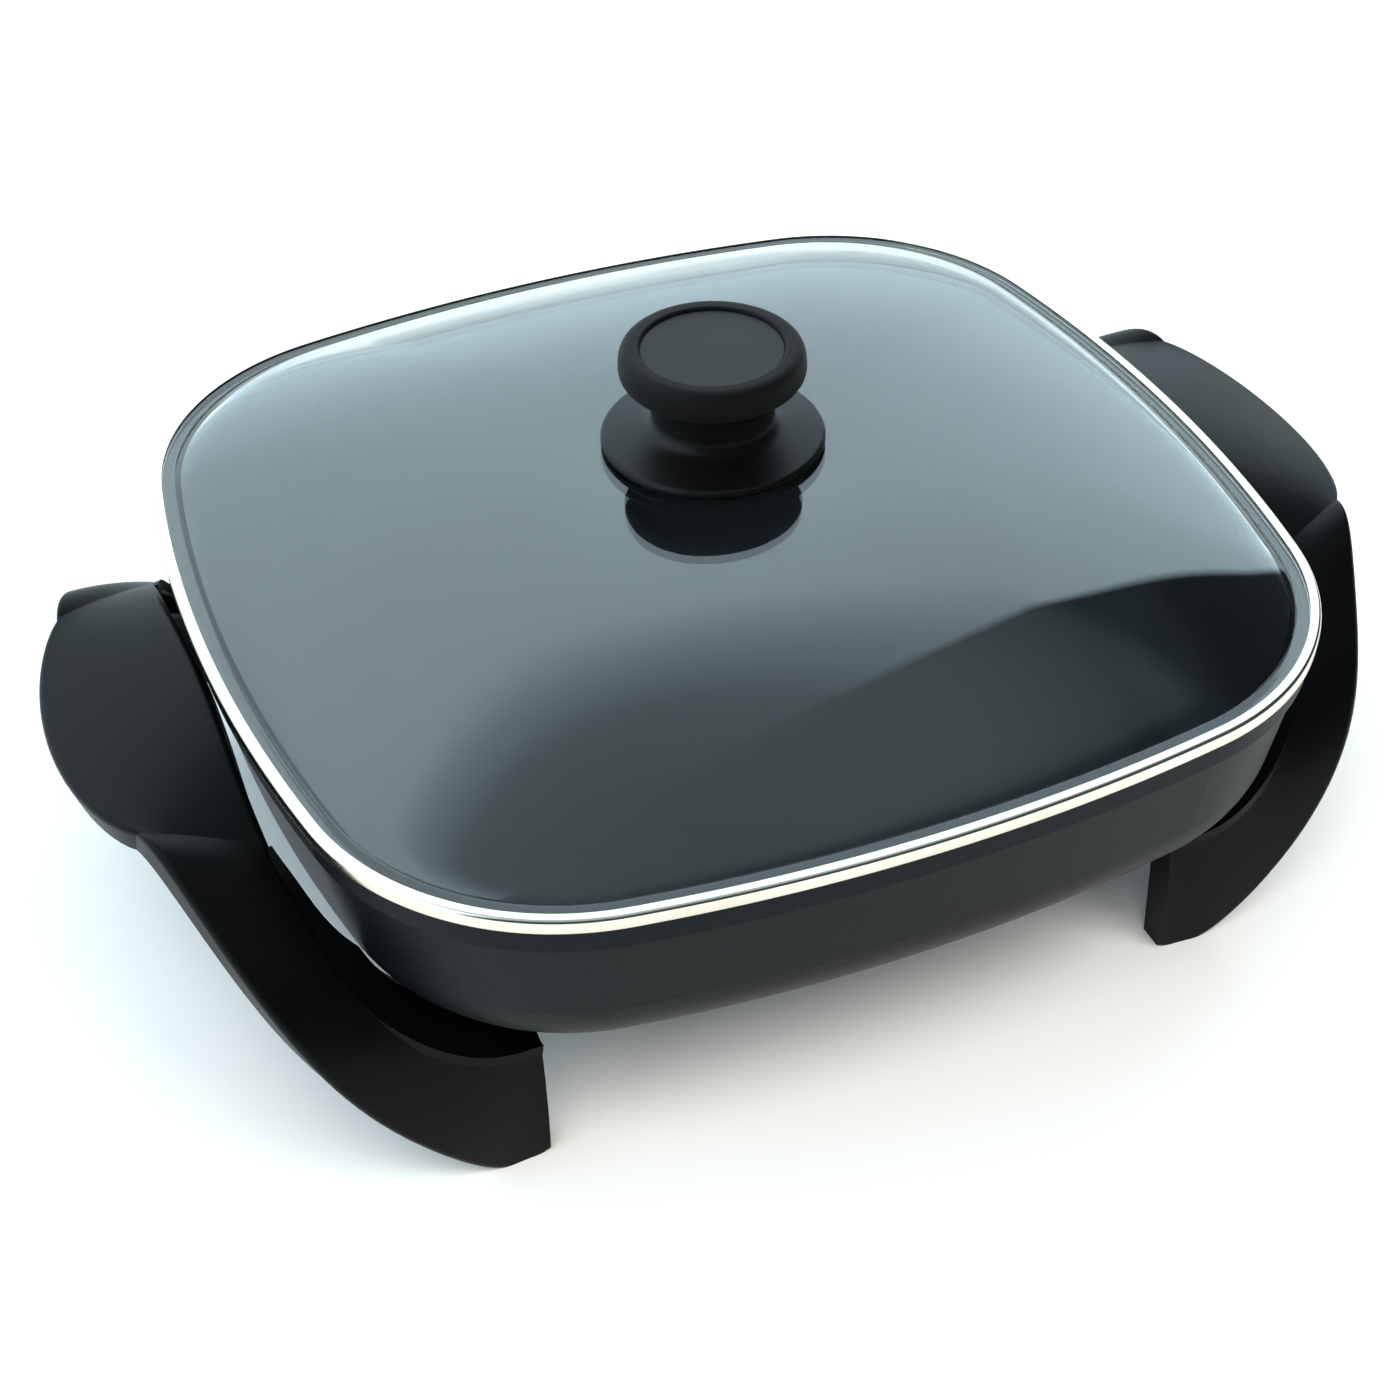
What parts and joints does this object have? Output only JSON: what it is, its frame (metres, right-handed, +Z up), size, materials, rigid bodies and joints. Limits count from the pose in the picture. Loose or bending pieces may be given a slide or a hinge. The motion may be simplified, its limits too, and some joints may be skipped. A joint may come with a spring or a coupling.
{
  "type": "electric skillet",
  "caption": "Square deep electric frying pan with a domed glass lid, a knob, and one-piece handle and leg mouldings at both ends.",
  "frame": {"origin": "on the table under the middle of the pan", "axes": "+Z up, +X along the line through the two handles towards the control inlet, front at -Y"},
  "size_m": [0.4008, 0.3046, 0.1765],
  "materials": {
    "coated_aluminium": "non-stick coating, satin with a fine metallic fleck",
    "element_steel": "dull tubular steel sheath",
    "pin_steel": "nickel plated, bright",
    "bush_ceramic": "white steatite ceramic, matte",
    "guard_steel": "plain sheet steel, brushed",
    "moulding_phenolic": "black phenolic moulding, satin",
    "screw_steel": "zinc plated",
    "lid_glass": "clear tempered glass, polished",
    "rim_steel": "stainless steel band, satin",
    "flange_plastic": "black phenolic, satin",
    "grip_plastic": "black soft-touch grip, matte",
    "cap_plastic": "black inlay disc, fine matte",
    "gasket_silicone": "translucent silicone"
  },
  "bodies": {
    "skillet": {"pan_casting": "coated_aluminium", "heating_element": "element_steel", "terminal_pin_front": "pin_steel", "terminal_pin_back": "pin_steel", "pin_bush_front": "bush_ceramic", "pin_bush_back": "bush_ceramic", "inlet_guard": "guard_steel", "guard_screws": "screw_steel", "handle_left": "moulding_phenolic", "handle_right": "moulding_phenolic", "leg_screws_left": "screw_steel", "leg_screws_right": "screw_steel", "leg_washers_left": "screw_steel", "leg_washers_right": "screw_steel"},
    "lid": {"lid_glass": "lid_glass", "lid_rim": "rim_steel", "knob_flange": "flange_plastic", "knob_grip": "grip_plastic", "knob_cap": "cap_plastic", "knob_gasket": "gasket_silicone", "knob_washer": "screw_steel", "knob_screw": "screw_steel"}
  },
  "joints": [
    {"name": "lid_lift", "type": "slide", "parent": "skillet", "child": "lid", "axis": [0, 0, 1], "range_m": [0, 0.12]}
  ]
}
